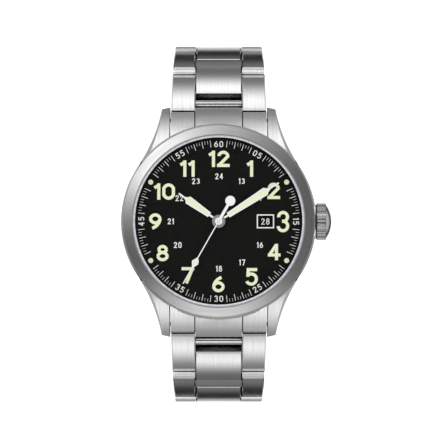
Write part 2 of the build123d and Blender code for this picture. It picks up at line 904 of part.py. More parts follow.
with BuildPart() as main_plate:
    with BuildSketch(Plane.XY.offset(plate_floor_z)):
        Circle(plate_radius)
    extrude(amount=plate_thickness)
    with BuildSketch(Plane.XY.offset(plate_top_z)):
        Circle(plate_radius)
        Circle(date_rim_radius, mode=Mode.SUBTRACT)
        Circle(date_boss_radius)
    extrude(amount=date_boss_height)
    with BuildSketch(Plane.XY.offset(hour_wheel_pocket_z)):
        Circle(hour_wheel_radius + wheel_pocket_clearance)
    extrude(amount=date_boss_top_z - hour_wheel_pocket_z, mode=Mode.SUBTRACT)
    with BuildSketch(Plane.XY.offset(plate_floor_z)):
        Circle(minute_tube_radius + running_clearance)
    extrude(amount=date_boss_top_z - plate_floor_z, mode=Mode.SUBTRACT)
    with BuildSketch(Plane.XY.offset(plate_floor_z)):
        with Locations(third_place, idler_place, rotor_place):
            Circle(bearing_radius)
    extrude(amount=plate_thickness / 2, mode=Mode.SUBTRACT)
    with BuildSketch(Plane.YZ.offset(stem_inner_x - wheel_pocket_clearance)):
        with Locations((0, crown_axis_z)):
            Circle(stem_radius + wheel_pocket_clearance)
    extrude(amount=plate_radius, mode=Mode.SUBTRACT)
export_part(main_plate.part, "main_plate")

with BuildPart() as train_bridge:
    with BuildSketch(Plane.XY.offset(bridge_floor_z)):
        with Locations((0, 0), third_place, idler_place, rotor_place, *pillar_places):
            Circle(bridge_half_width)
        make_hull()
        with Locations((0, 0), third_place, idler_place, rotor_place):
            Circle(bearing_radius, mode=Mode.SUBTRACT)
    extrude(amount=bridge_thickness)
    with BuildSketch(Plane.XY.offset(bridge_floor_z)):
        with Locations(*pillar_places):
            Circle(pillar_radius)
    extrude(amount=plate_floor_z - bridge_floor_z)
export_part(train_bridge.part, "train_bridge")


def toothed_face(radius, depth, count):
    """A wheel outline with pointed-trapezoid teeth, worked out tooth by tooth."""
    points = []
    for tooth in range(count):
        for share, reach in tooth_corner_shares:
            points.append(polar(radius - depth * (1 - reach), 360 * (tooth + share) / count))
    Polyline(*points, close=True)


def wheel_with_arbor(
    name, place, wheel_radius, wheel_z, count, spindle, low_z, high_z, pinion_z=None, bore=0.0
):
    """A toothed wheel on its arbor or tube, with a pinion where it drives the next wheel."""
    with BuildPart() as wheel:
        with BuildSketch(Plane.XY.offset(wheel_z)):
            with BuildLine():
                toothed_face(wheel_radius, tooth_depth, count)
            make_face()
        extrude(amount=wheel_thickness)
        with BuildSketch(Plane.XY.offset(low_z)):
            Circle(spindle)
        extrude(amount=high_z - low_z)
        if pinion_z is not None:
            with BuildSketch(Plane.XY.offset(pinion_z)):
                Circle(pinion_radius)
            extrude(amount=wheel_thickness)
        if bore:
            with BuildSketch(Plane.XY.offset(low_z - cut_overrun)):
                Circle(bore)
            extrude(amount=high_z - low_z + 2 * cut_overrun, mode=Mode.SUBTRACT)
    export_part(wheel.part.moved(Location((*place, 0))), name)


pivot_low_z = bridge_floor_z
pivot_high_z = plate_floor_z + plate_thickness / 2 - running_clearance
wheel_with_arbor(
    "seconds_wheel",
    (0, 0),
    seconds_wheel_radius,
    seconds_wheel_z,
    wheel_teeth["seconds"],
    seconds_arbor_radius,
    pivot_low_z,
    seconds_hand_z + hand_thickness + seconds_cap_height,
    third_wheel_z,
)
wheel_with_arbor(
    "third_wheel",
    third_place,
    train_distance - pinion_radius - mesh_clearance,
    third_wheel_z,
    wheel_teeth["third"],
    arbor_radius,
    pivot_low_z,
    pivot_high_z,
    centre_wheel_z,
)
wheel_with_arbor(
    "centre_wheel",
    (0, 0),
    train_distance - pinion_radius - mesh_clearance,
    centre_wheel_z,
    wheel_teeth["centre"],
    minute_tube_radius,
    centre_wheel_z,
    minute_hand_z + hand_thickness,
    bore=minute_tube_bore,
)
wheel_with_arbor(
    "hour_wheel",
    (0, 0),
    hour_wheel_radius,
    hour_wheel_z,
    wheel_teeth["hour"],
    hour_tube_radius,
    hour_wheel_z,
    hour_hand_z + hand_thickness,
    bore=hour_tube_bore,
)
wheel_with_arbor(
    "idler_wheel",
    idler_place,
    idler_wheel_radius,
    idler_wheel_z,
    wheel_teeth["idler"],
    arbor_radius,
    pivot_low_z,
    pivot_high_z,
    seconds_wheel_z,
)

with BuildPart() as rotor:
    with BuildSketch(Plane.XY.offset(stator_floor_z)):
        with Locations(rotor_place):
            Circle(rotor_radius)
    extrude(amount=rotor_height)
    with BuildSketch(Plane.XY.offset(pivot_low_z)):
        with Locations(rotor_place):
            Circle(arbor_radius)
    extrude(amount=pivot_high_z - pivot_low_z)
    with BuildSketch(Plane.XY.offset(idler_wheel_z)):
        with Locations(rotor_place):
            Circle(pinion_radius)
    extrude(amount=wheel_thickness)
export_part(rotor.part, "rotor")

coil_end_reach = coil_length / 2 + stator_foot_radius
coil_ends = [polar(side * coil_end_reach, 45, (coil_x, coil_y)) for side in (-1, 1)]
with BuildPart() as stator:
    for coil_end in coil_ends:
        with BuildSketch(Plane.XY.offset(stator_floor_z)):
            with Locations(rotor_place):
                Circle(stator_half_width)
            with Locations(coil_end):
                Circle(stator_foot_radius)
            make_hull()
        extrude(amount=stator_thickness)
    with BuildSketch(Plane.XY.offset(stator_floor_z)):
        with Locations(rotor_place):
            Circle(rotor_radius + stator_bore_clearance)
    extrude(amount=stator_thickness, mode=Mode.SUBTRACT)
    with BuildSketch(Plane.XY.offset(stator_floor_z)):
        with Locations(*coil_ends):
            Circle(stator_foot_radius)
    extrude(amount=coil_z - coil_core_radius - stator_floor_z)
export_part(stator.part, "stator")

coil_plane = Plane(origin=(coil_x, coil_y, coil_z), x_dir=(0, 0, 1), z_dir=(1, 1, 0))
with BuildPart() as coil:
    with BuildSketch(coil_plane):
        Circle(coil_radius)
    extrude(amount=coil_length / 2, both=True)
    with BuildSketch(coil_plane):
        Circle(coil_core_radius)
    extrude(amount=coil_length / 2 + coil_core_overhang, both=True)
export_part(coil.part, "coil")

with BuildPart() as battery:
    with BuildSketch(Plane.XY.offset(battery_floor_z)):
        with Locations(battery_place):
            Circle(battery_radius)
    extrude(amount=battery_height)
    chamfer(edges().filter_by(GeomType.CIRCLE), battery_edge)
export_part(battery.part, "battery")

circuit_floor_z = plate_floor_z - circuit_thickness
quartz_plane = Plane.YZ.offset(circuit_x - quartz_length / 2)
with BuildPart() as circuit_block:
    with BuildSketch(Plane.XY.offset(circuit_floor_z)):
        with Locations((circuit_x, circuit_y)):
            Rectangle(circuit_length, circuit_width)
    extrude(amount=circuit_thickness)
    with BuildSketch(quartz_plane):
        with Locations((circuit_y, circuit_floor_z)):
            Circle(quartz_radius)
    extrude(amount=quartz_length)
export_part(circuit_block.part, "circuit_block")

# Date disc and the numbers printed on it
date_disc_z = plate_top_z + date_disc_lift
date_disc = ring(date_disc_inner_radius, date_disc_outer_radius, date_disc_z, date_disc_thickness)
export_part(date_disc, "date_disc")

with BuildPart() as date_numbers:
    with BuildSketch(Plane.XY.offset(date_disc_z + date_disc_thickness)):
        for date in range(1, date_count + 1):
            clock_angle = 90 + 360 * (date_shown - date) / date_count
            add(
                number_sketch(
                    str(date),
                    date_number_height,
                    date_number_width,
                    date_number_stroke,
                    date_number_gap,
                    on_circle(date_window_x, clock_angle),
                    clock_angle - 90,
                )
            )
    extrude(amount=print_thickness)
export_part(date_numbers.part, "date_numbers")

# Crown, stem, gasket and tube
crown_plane = Plane.YZ.offset(crown_start_x)
crown_knurl_x = crown_start_x + crown_collar
crown_cap_x = crown_knurl_x + crown_knurl_length
crown_dome_x = crown_cap_x + crown_bevel_length
crown_end_x = crown_dome_x + crown_cap_length
crown_cavity_radius = tube_radius + gasket_thickness
with BuildPart() as crown:
    with BuildSketch(Plane.XZ):
        with BuildLine():
            Polyline(
                (crown_start_x, 0),
                (crown_start_x, crown_radius - crown_collar),
                (crown_knurl_x, crown_radius),
                (crown_cap_x, crown_radius),
                (crown_dome_x, crown_cap_radius),
            )
            ThreePointArc(
                (crown_dome_x, crown_cap_radius),
                (crown_end_x, 0),
                (crown_dome_x, -crown_cap_radius),
            )
            Line((crown_dome_x, -crown_cap_radius), (crown_start_x, 0))
        make_face()
        with Locations((crown_start_x, 0)):
            Rectangle(
                crown_end_x - crown_start_x + cut_overrun,
                crown_radius + cut_overrun,
                align=(Align.MIN, Align.MAX),
                mode=Mode.SUBTRACT,
            )
    revolve(axis=Axis.X)
    with BuildSketch(Plane.YZ.offset(crown_knurl_x)):
        with PolarLocations(crown_radius, crown_flute_count):
            Circle(crown_flute_radius)
    extrude(amount=crown_knurl_length, mode=Mode.SUBTRACT)
    with BuildSketch(crown_plane):
        Circle(crown_cavity_radius)
    extrude(amount=crown_cavity_end_x - crown_start_x, mode=Mode.SUBTRACT)
crown_shift = Location((0, 0, crown_axis_z))
export_part(crown.part.moved(crown_shift), "crown")


def x_tube(inner_radius, outer_radius, start_x, end_x):
    with BuildPart() as tube:
        with BuildSketch(Plane.YZ.offset(start_x)):
            with Locations((0, crown_axis_z)):
                Circle(outer_radius)
                if inner_radius:
                    Circle(inner_radius, mode=Mode.SUBTRACT)
        extrude(amount=end_x - start_x)
    return tube.part


export_part(x_tube(0, stem_radius, stem_inner_x, crown_cavity_end_x), "stem")
export_part(x_tube(tube_bore_radius, tube_radius, tube_inner_x, tube_outer_x), "crown_tube")
crown_gasket = x_tube(
    tube_radius + running_clearance,
    crown_cavity_radius - running_clearance,
    gasket_x,
    gasket_x + gasket_length,
)
export_part(crown_gasket, "crown_gasket")


# Bracelet, laid out along its pivots from both ends of the case
def pivots_along(angles):
    """Pivot places as (y, z), stepping one link pitch along each angle below the horizontal."""
    places = [(first_pivot_y, first_pivot_z)]
    for angle in angles:
        y, z = places[-1]
        places.append((y + link_pitch * cos(radians(angle)), z - link_pitch * sin(radians(angle))))
    return places


upper_pivots = pivots_along(upper_link_angles)
lower_pivots = pivots_along(lower_link_angles)


def link_plane(side, pivot, angle):
    """Local x runs along the link away from the case, local y points away from the wrist."""
    y, z = pivot
    turn = radians(angle)
    return Plane(origin=(0, side * y, z), x_dir=(0, side * cos(turn), -sin(turn)), z_dir=(side, 0, 0))


def taper(first, last, place):
    return first + (last - first) * place / len(upper_link_angles)


def arc_x(radius, height):
    """How far a round end of this radius reaches at a height above or below its axis."""
    return sqrt(radius**2 - height**2)


def outer_link_profile(far_end):
    """Side view of the outer pieces: a round near end, and a hollow for the next link behind a slope."""
    floor = -link_half_height
    round_radius = link_knuckle_radius
    hollow_radius = link_knuckle_radius + link_gap
    near_top = link_outer_near_top
    near_turn = (-arc_x(round_radius, link_outer_near_turn), link_outer_near_turn)
    near_floor = (-arc_x(round_radius, floor), floor)
    if far_end == "hollow":
        far_top = (link_pitch + link_outer_far_top[0], link_outer_far_top[1])
        far_turn = (link_pitch - arc_x(hollow_radius, link_outer_far_turn), link_outer_far_turn)
        far_floor = (link_pitch - arc_x(hollow_radius, floor), floor)
        Line(far_top, far_turn)
        ThreePointArc(far_turn, (link_pitch - hollow_radius, 0), far_floor)
    elif far_end == "short":
        far_top = (link_pitch - strap_end_shortfall, link_end_half_height)
        far_floor = (link_pitch - strap_end_shortfall, floor)
        Line(far_top, far_floor)
    else:
        far_top = (link_pitch, strap_ear_radius)
        far_floor = (link_pitch, -strap_ear_radius)
        ThreePointArc(far_top, (link_pitch + strap_ear_radius, 0), far_floor)
    ThreePointArc(near_top, ((near_top[0] + far_top[0]) / 2, link_half_height), far_top)
    if far_end == "ear":
        Polyline(far_floor, (link_pitch / 2, floor), near_floor)
    else:
        Line(far_floor, near_floor)
    ThreePointArc(near_floor, (-round_radius, 0), near_turn)
    Line(near_turn, near_top)


def centre_link_profile(far_end):
    """Side view of the centre piece: a hollow near end, and a nose that fills the next link's hollow."""
    floor = -link_half_height
    round_radius = link_knuckle_radius
    hollow_radius = link_knuckle_radius + link_gap
    near_top = link_centre_near_top
    near_turn = (arc_x(hollow_radius, link_centre_near_turn), link_centre_near_turn)
    near_floor = (arc_x(hollow_radius, floor), floor)
    if far_end == "round":
        far_top = (link_pitch + link_centre_far_top[0], link_centre_far_top[1])
        far_turn = (link_pitch + arc_x(round_radius, link_centre_far_turn), link_centre_far_turn)
        far_floor = (link_pitch + arc_x(round_radius, floor), floor)
        nose = ((far_top[0] + far_turn[0]) / 2, (far_top[1] + far_turn[1]) / 2 + link_nose_bulge)
        ThreePointArc(far_top, nose, far_turn)
        ThreePointArc(far_turn, (link_pitch + round_radius, 0), far_floor)
    else:
        far_top = (link_pitch - arc_x(hollow_radius, link_end_half_height), link_end_half_height)
        far_floor = (link_pitch - arc_x(hollow_radius, floor), floor)
        ThreePointArc(far_top, (link_pitch - hollow_radius, 0), far_floor)
    ThreePointArc(near_top, ((near_top[0] + far_top[0]) / 2, link_half_height), far_top)
    Line(far_floor, near_floor)
    ThreePointArc(near_floor, (hollow_radius, 0), near_turn)
    Line(near_turn, near_top)


def make_link(name, side, place, pivots, angles, outer_end, centre_end):
    plane = link_plane(side, pivots[place], angles[place])
    top_axis = Axis(plane.origin, plane.y_dir)
    near_width = taper(first_link_width, last_link_width, place)
    far_width = taper(first_link_width, last_link_width, place + 1)
    centre_width = taper(first_centre_width, last_centre_width, place)
    last_centre = taper(first_centre_width, last_centre_width, max(place - 1, 0))
    outer_start = last_centre / 2 + link_side_gap
    near_x = -link_knuckle_radius
    far_x = link_pitch + link_knuckle_radius
    with BuildPart() as outer:
        with BuildSketch(plane):
            with BuildLine():
                outer_link_profile(outer_end)
            make_face()
        extrude(amount=first_link_width)
        flat = Plane(origin=plane.origin, x_dir=plane.x_dir, z_dir=-plane.y_dir)
        with BuildSketch(flat):
            with BuildLine():
                Polyline(
                    (near_x, outer_start),
                    (near_x, near_width / 2),
                    (far_x, far_width / 2),
                    (far_x, outer_start),
                    close=True,
                )
            make_face()
        extrude(amount=first_link_width, both=True, mode=Mode.INTERSECT)
        chamfer(outer_edges_of(faces().sort_by(top_axis)[-1], plane), link_bevel)
        for pin_x in (0, link_pitch / 2):
            with BuildSketch(plane):
                with Locations((pin_x, 0)):
                    Circle(link_pin_radius)
            extrude(amount=first_link_width, mode=Mode.SUBTRACT)
        if outer_end == "ear":
            with BuildSketch(plane):
                with Locations((link_pitch, 0)):
                    Circle(blade_pin_radius)
            extrude(amount=first_link_width, mode=Mode.SUBTRACT)
    with BuildPart() as centre:
        with BuildSketch(plane):
            with BuildLine():
                centre_link_profile(centre_end)
            make_face()
        extrude(amount=centre_width / 2, both=True)
        chamfer(outer_edges_of(faces().sort_by(top_axis)[-1], plane), link_bevel)
        with BuildSketch(plane):
            with Locations((link_pitch / 2, 0)):
                Circle(link_pin_radius)
            if centre_end == "round":
                with Locations((link_pitch, 0)):
                    Circle(link_pin_radius + running_clearance)
        extrude(amount=centre_width, both=True, mode=Mode.SUBTRACT)
    solids = [outer.part, mirror(outer.part, about=Plane.YZ), centre.part]
    middle_width = (near_width + far_width) / 2
    pins = [(0, near_width, link_pin_radius), (link_pitch / 2, middle_width, link_pin_radius)]
    if outer_end == "ear":
        pins.append((link_pitch, far_width, blade_pin_radius))
    for pin_x, pin_width, pin_radius in pins:
        with BuildPart() as pin:
            with BuildSketch(plane):
                with Locations((pin_x, 0)):
                    Circle(pin_radius)
            extrude(amount=pin_width / 2 - link_pin_inset, both=True)
        solids.append(pin.part)
    export_part(Compound(children=[solid for shape in solids for solid in shape.solids()]), name)


def outer_edges_of(face, plane):
    """The long edges of a link's top face, which run beside the grooves and the flanks."""
    return face.edges().filter_by(lambda edge: abs((edge @ 1 - edge @ 0).X) < link_bevel)


last_upper = len(upper_link_angles) - 1
for place in range(len(upper_link_angles)):
    outer_end = "short" if place == last_upper else "hollow"
    make_link(f"link_12_{place + 1}", 1, place, upper_pivots, upper_link_angles, outer_end, "round")
last_lower = len(lower_link_angles) - 1
for place in range(len(lower_link_angles)):
    outer_end = "ear" if place == last_lower else "hollow"
    centre_end = "hollow" if place == last_lower else "round"
    make_link(f"link_6_{place + 1}", -1, place, lower_pivots, lower_link_angles, outer_end, centre_end)

# End links, which fill the space between the lugs, and the spring bars through them
tongue_half_width = first_centre_width / 2
end_link_half_width = lug_gap / 2 - end_link_fit
first_pivot = (first_pivot_y, first_pivot_z)


def end_link_top(drop):
    """The curve of the lugs' top, lowered by drop."""
    ThreePointArc(*[(y, z - drop) for y, z in lug_top_line])


with BuildPart() as end_link_12:
    with BuildSketch(Plane.YZ):
        with BuildLine():
            end_link_top(end_link_drop)
            Polyline(
                (lug_reach, lug_tip_z - end_link_drop),
                (lug_reach, end_link_floor_z),
                (lug_root_y, end_link_floor_z),
                (lug_root_y, lug_top_z - end_link_drop),
            )
        make_face()
        with Locations(first_pivot):
            Circle(end_link_knuckle_radius)
    extrude(amount=end_link_half_width, both=True)
    with BuildSketch(Plane.XY.offset(end_link_floor_z - cut_overrun)):
        Circle(case_radius + end_link_case_gap)
    extrude(amount=case_top_z - end_link_floor_z + 2 * cut_overrun, mode=Mode.SUBTRACT)
    for side in (-1, 1):
        with BuildSketch(Plane.YZ.offset(side * tongue_half_width)):
            with Locations(first_pivot):
                Circle(link_knuckle_radius + link_gap)
            with Locations((end_link_shoulder_y, first_pivot_z)):
                Rectangle(
                    lug_reach - end_link_shoulder_y + cut_overrun,
                    2 * (lug_tip_z - end_link_floor_z + cut_overrun),
                    align=(Align.MIN, Align.CENTER),
                )
        extrude(amount=side * end_link_half_width, mode=Mode.SUBTRACT)
        with BuildSketch(Plane.YZ.offset(side * tongue_half_width)):
            with BuildLine():
                groove_drop = end_link_groove_depth + end_link_drop
                end_link_top(groove_drop)
                end_link_top(-cut_overrun)
                for y, z in (lug_top_line[0], lug_top_line[-1]):
                    Line((y, z - groove_drop), (y, z + cut_overrun))
            make_face()
        extrude(amount=side * end_link_groove_width, mode=Mode.SUBTRACT)
    with BuildSketch(Plane.YZ):
        with Locations(first_pivot):
            Circle(link_pin_radius + running_clearance)
        with Locations((spring_bar_y, spring_bar_z)):
            Circle(spring_bar_radius + running_clearance / 2)
    extrude(amount=end_link_half_width, both=True, mode=Mode.SUBTRACT)
    end_edges = [
        edge
        for edge in end_link_12.edges().filter_by(Axis.X)
        if lug_gap / 2 > edge.length > 2 * end_link_groove_width
        and edge.center().Z > lug_tip_z - 2 * end_link_drop
    ]
    fillet(end_edges, end_link_round)
export_part(end_link_12.part, "end_link_12")
export_part(mirror(end_link_12.part, about=Plane.XZ), "end_link_6")

with BuildPart() as spring_bars:
    for side in (-1, 1):
        with BuildSketch(Plane.YZ):
            with Locations((side * spring_bar_y, spring_bar_z)):
                Circle(spring_bar_radius)
        extrude(amount=lug_gap / 2 - spring_bar_shoulder_gap, both=True)
        with BuildSketch(Plane.YZ):
            with Locations((side * spring_bar_y, spring_bar_z)):
                Circle(spring_bar_tip_radius)
        extrude(amount=lug_gap / 2 + spring_bar_tip_length, both=True)
export_part(spring_bars.part, "spring_bars")

# Fold-over clasp: two blades folded into a cover, all turning about pins along X
strap_pivot = upper_pivots[-1]
blade_pivot = (-lower_pivots[-1][0], lower_pivots[-1][1])
inner_blade_z = blade_pivot[1] - blade_drop
middle_blade_z = inner_blade_z - blade_thickness - blade_gap
fold_pivot = (fold_pivot_y, (inner_blade_z + middle_blade_z) / 2)
cover_pivot = (cover_pivot_y, middle_blade_z - blade_drop)
blade_half_width = blade_width / 2
fold_knuckle_half_width = blade_width / 4
fold_slot_y = fold_pivot_y - blade_knuckle_radius - blade_knuckle_gap


def bar_along_y(start_y, end_y, middle_z, thickness):
    with Locations(((start_y + end_y) / 2, middle_z)):
        Rectangle(end_y - start_y, thickness)


def round_at(centre, radius):
    with Locations(centre):
        Circle(radius)


with BuildPart() as inner_blade:
    with BuildSketch(Plane.YZ):
        bar_along_y(blade_pivot[0], fold_pivot_y, inner_blade_z, blade_thickness)
        round_at(blade_pivot, blade_knuckle_radius)
        round_at(fold_pivot, blade_knuckle_radius)
    extrude(amount=blade_half_width, both=True)
    with BuildSketch(Plane.YZ):
        bar_along_y(fold_slot_y, fold_pivot_y + cut_overrun, fold_pivot[1], 2 * cut_overrun)
    extrude(amount=fold_knuckle_half_width + blade_knuckle_gap, both=True, mode=Mode.SUBTRACT)
    with BuildSketch(Plane.YZ):
        round_at(blade_pivot, blade_pin_radius + running_clearance)
        round_at(fold_pivot, blade_pin_radius)
    extrude(amount=blade_half_width, both=True, mode=Mode.SUBTRACT)
export_part(inner_blade.part, "inner_blade")

with BuildPart() as middle_blade:
    with BuildSketch(Plane.YZ):
        bar_along_y(cover_pivot_y, fold_slot_y, middle_blade_z, blade_thickness)
        round_at(cover_pivot, blade_knuckle_radius)
    extrude(amount=blade_half_width, both=True)
    with BuildSketch(Plane.YZ):
        bar_along_y(fold_slot_y, fold_pivot_y, middle_blade_z, blade_thickness)
        round_at(fold_pivot, blade_knuckle_radius)
    extrude(amount=fold_knuckle_half_width, both=True)
    with BuildSketch(Plane.YZ):
        round_at(fold_pivot, blade_pin_radius + running_clearance)
        round_at(cover_pivot, blade_pin_radius + running_clearance)
    extrude(amount=blade_half_width, both=True, mode=Mode.SUBTRACT)
export_part(middle_blade.part, "middle_blade")


def x_pin(name, centre, radius, half_length):
    with BuildPart() as pin:
        with BuildSketch(Plane.YZ):
            round_at(centre, radius)
        extrude(amount=half_length, both=True)
    export_part(pin.part, name)


x_pin("fold_pin", fold_pivot, blade_pin_radius, blade_half_width)
x_pin(
    "strap_spring_bar",
    strap_pivot,
    link_pin_radius,
    clasp_width / 2 - clasp_wall - strap_bar_clearance,
)

clasp_plate_top_z = clasp_outer_z + clasp_wall
clasp_height = clasp_rim_z - clasp_outer_z
clasp_middle_z = (clasp_outer_z + clasp_rim_z) / 2
clasp_opening_end_y = clasp_wall_start_y + cut_overrun
clasp_inner_half_width = clasp_width / 2 - clasp_wall
cover_lug_inner_x = blade_half_width + blade_knuckle_gap
with BuildPart() as clasp_cover:
    with BuildSketch(Plane.YZ):
        bar_along_y(clasp_end_y, clasp_wall_start_y, clasp_middle_z, clasp_height)
        chamfer(vertices(), clasp_corner)
    extrude(amount=clasp_width / 2, both=True)
    chamfer(edges().filter_by(Axis.Y), clasp_edge)
    with BuildSketch(Plane.YZ):
        bar_along_y(
            clasp_end_y - cut_overrun,
            clasp_opening_end_y,
            clasp_plate_top_z + clasp_height,
            2 * clasp_height,
        )
        bar_along_y(clasp_plate_start_y, clasp_opening_end_y, clasp_outer_z, 2 * clasp_wall + cut_overrun)
    extrude(amount=clasp_inner_half_width, both=True, mode=Mode.SUBTRACT)
    for side in (-1, 1):
        with BuildSketch(Plane.YZ.offset(side * cover_lug_inner_x)):
            round_at(cover_pivot, blade_knuckle_radius)
            with Locations((cover_pivot_y, (clasp_plate_top_z + cover_pivot[1]) / 2)):
                Rectangle(2 * blade_knuckle_radius, cover_pivot[1] - clasp_plate_top_z)
        extrude(amount=side * cover_lug_thickness)
    with BuildSketch(Plane.YZ):
        round_at(cover_pivot, blade_pin_radius)
    extrude(amount=cover_lug_inner_x + cover_lug_thickness, both=True, mode=Mode.SUBTRACT)
    with BuildSketch(Plane.YZ):
        for hole in range(adjust_hole_count):
            hole_y = strap_pivot[0] - adjust_hole_spacing * hole
            round_at((hole_y, strap_pivot[1]), adjust_hole_radius)
        with Locations((button_y, button_z)):
            Rectangle(button_length + 2 * button_fit, button_height + 2 * button_fit)
    extrude(amount=clasp_width, both=True, mode=Mode.SUBTRACT)
export_part(clasp_cover.part, "clasp_cover")
x_pin("cover_pin", cover_pivot, blade_pin_radius, cover_lug_inner_x + cover_lug_thickness)

with BuildPart() as latch_block:
    with BuildSketch(Plane.YZ):
        latch_top_z = middle_blade_z - blade_thickness / 2 - latch_gap
        bar_along_y(
            button_y - latch_length / 2,
            button_y + latch_length / 2,
            (clasp_plate_top_z + latch_top_z) / 2,
            latch_top_z - clasp_plate_top_z,
        )
    extrude(amount=latch_half_width, both=True)
    with BuildSketch(Plane.YZ):
        round_at((button_y, button_z), latch_pin_radius)
    extrude(amount=latch_half_width + latch_pin_length, both=True)
export_part(latch_block.part, "latch_block")

button_flange_x = clasp_inner_half_width - running_clearance - button_flange
for side, name in ((-1, "push_button_left"), (1, "push_button_right")):
    with BuildPart() as button:
        with BuildSketch(Plane.YZ.offset(side * button_flange_x)):
            with Locations((button_y, button_z)):
                Rectangle(button_length, button_height)
        extrude(amount=side * (clasp_width / 2 + button_proud - button_flange_x))
        chamfer(faces().sort_by(Axis.X)[0 if side < 0 else -1].edges(), clasp_edge)
        with BuildSketch(Plane.YZ.offset(side * button_flange_x)):
            with Locations((button_y, button_z)):
                Rectangle(button_flange_length, button_flange_height)
        extrude(amount=side * button_flange)
    with BuildPart() as spring:
        spring_start_x = latch_half_width + button_travel + running_clearance
        with BuildSketch(Plane.YZ.offset(side * spring_start_x)):
            with Locations((button_y, button_z)):
                Circle(button_spring_radius)
                Circle(button_spring_radius - button_spring_wall, mode=Mode.SUBTRACT)
        extrude(amount=side * (button_flange_x - spring_start_x))
    export_part(Compound(children=[button.part.solid(), spring.part.solid()]), name)
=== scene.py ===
from math import cos, radians, sin

import bmesh
import bpy
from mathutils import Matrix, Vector

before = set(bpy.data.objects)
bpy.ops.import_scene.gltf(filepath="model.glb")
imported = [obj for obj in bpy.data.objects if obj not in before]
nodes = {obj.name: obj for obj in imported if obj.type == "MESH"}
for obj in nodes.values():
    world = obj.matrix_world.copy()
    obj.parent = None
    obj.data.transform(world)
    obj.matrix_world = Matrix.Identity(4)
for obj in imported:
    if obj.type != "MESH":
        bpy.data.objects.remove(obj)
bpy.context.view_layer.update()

MM = 0.001
scene = bpy.context.scene
scene.view_settings.view_transform = "Standard"


def linear(level):
    """Linear value of a grey written as 0 to 255."""
    share = level / 255
    return share / 12.92 if share <= 0.04045 else ((share + 0.055) / 1.055) ** 2.4


def colour(red, green, blue):
    return (linear(red), linear(green), linear(blue), 1.0)


# Camera: looks down on the dial from slightly towards six o'clock
camera_distance = 600 * MM
camera_tilt_degrees = 1.9
aim = Vector((0.27 * MM, 0.2 * MM, 9.0 * MM))
view_width = 89.8 * MM
sensor_width = 36.0
clip_range = (0.01, 10.0)
camera_data = bpy.data.cameras.new("camera")
camera = bpy.data.objects.new("camera", camera_data)
scene.collection.objects.link(camera)
tilt = radians(camera_tilt_degrees)
camera.location = aim + camera_distance * Vector((0, -sin(tilt), cos(tilt)))
camera.rotation_euler = (tilt, 0, 0)
camera_data.sensor_width = sensor_width
camera_data.lens = sensor_width * camera_distance / view_width
camera_data.clip_start, camera_data.clip_end = clip_range
scene.camera = camera


# Node helpers
class Graph:
    """A material's or world's node tree, with short calls for the nodes used here."""

    def __init__(self, tree):
        self.tree = tree
        self.tree.nodes.clear()

    def add(self, kind, **settings):
        node = self.tree.nodes.new(kind)
        for name, value in settings.items():
            setattr(node, name, value)
        return node

    def link(self, source, target):
        self.tree.links.new(source, target)

    def put(self, value, socket):
        if isinstance(value, bpy.types.NodeSocket):
            self.link(value, socket)
        else:
            socket.default_value = value

    def math(self, operation, first, second=None, third=None):
        node = self.add("ShaderNodeMath", operation=operation)
        for value, socket in zip((first, second, third), node.inputs):
            if value is not None:
                self.put(value, socket)
        return node.outputs[0]

    def vector(self, operation, first, second=None, scale=None):
        node = self.add("ShaderNodeVectorMath", operation=operation)
        self.put(first, node.inputs[0])
        if second is not None:
            self.put(second, node.inputs[1])
        if scale is not None:
            self.put(scale, node.inputs["Scale"])
        return node

    def position(self):
        return self.add("ShaderNodeTexCoord").outputs["Object"]

    def noise(self, vector, scale, detail=2.0, roughness=0.5):
        node = self.add("ShaderNodeTexNoise")
        self.put(vector, node.inputs["Vector"])
        node.inputs["Scale"].default_value = scale
        node.inputs["Detail"].default_value = detail
        node.inputs["Roughness"].default_value = roughness
        return node.outputs["Fac"]

    def spread(self, value, low, high, low_in=0.3, high_in=0.7):
        node = self.add("ShaderNodeMapRange")
        self.put(value, node.inputs["Value"])
        limits = {"From Min": low_in, "From Max": high_in, "To Min": low, "To Max": high}
        for socket, number in limits.items():
            self.put(number, node.inputs[socket])
        return node.outputs["Result"]

    def blend(self, share, first, second):
        node = self.add("ShaderNodeMix", data_type="RGBA")
        self.put(share, node.inputs["Factor"])
        self.put(first, node.inputs["A"])
        self.put(second, node.inputs["B"])
        return node.outputs["Result"]

    def ramp(self, value, stops):
        node = self.add("ShaderNodeValToRGB")
        elements = node.color_ramp.elements
        while len(elements) < len(stops):
            elements.new(1.0)
        for element, (place, level) in zip(elements, stops):
            element.position = place
            element.color = (level, level, level, 1.0)
        self.put(value, node.inputs["Fac"])
        return node.outputs["Color"]


def new_material(name):
    material = bpy.data.materials.new(name)
    material.use_nodes = True
    graph = Graph(material.node_tree)
    shader = graph.add("ShaderNodeBsdfPrincipled")
    output = graph.add("ShaderNodeOutputMaterial")
    graph.link(shader.outputs[0], output.inputs["Surface"])
    return material, graph, shader


def bump(graph, shader, height, distance, strength=1.0):
    node = graph.add("ShaderNodeBump")
    node.inputs["Strength"].default_value = strength
    node.inputs["Distance"].default_value = distance
    graph.link(height, node.inputs["Height"])
    graph.link(node.outputs["Normal"], shader.inputs["Normal"])


streaks_per_metre = 3600.0
streak_ends_per_metre = 110.0
streak_ends_per_turn = 2.5
streak_look = {"scale": 1.0, "detail": 3.0, "roughness": 0.65}
wear_look = {"scale": 900.0, "detail": 4.0, "roughness": 0.6}


def streaks_along_strap(graph):
    """Fine lines that run round the X axis, along the strap."""
    scales = (streaks_per_metre, streak_ends_per_metre, streak_ends_per_metre)
    stretch = graph.vector("MULTIPLY", graph.position(), scales)
    return graph.noise(stretch.outputs[0], **streak_look)


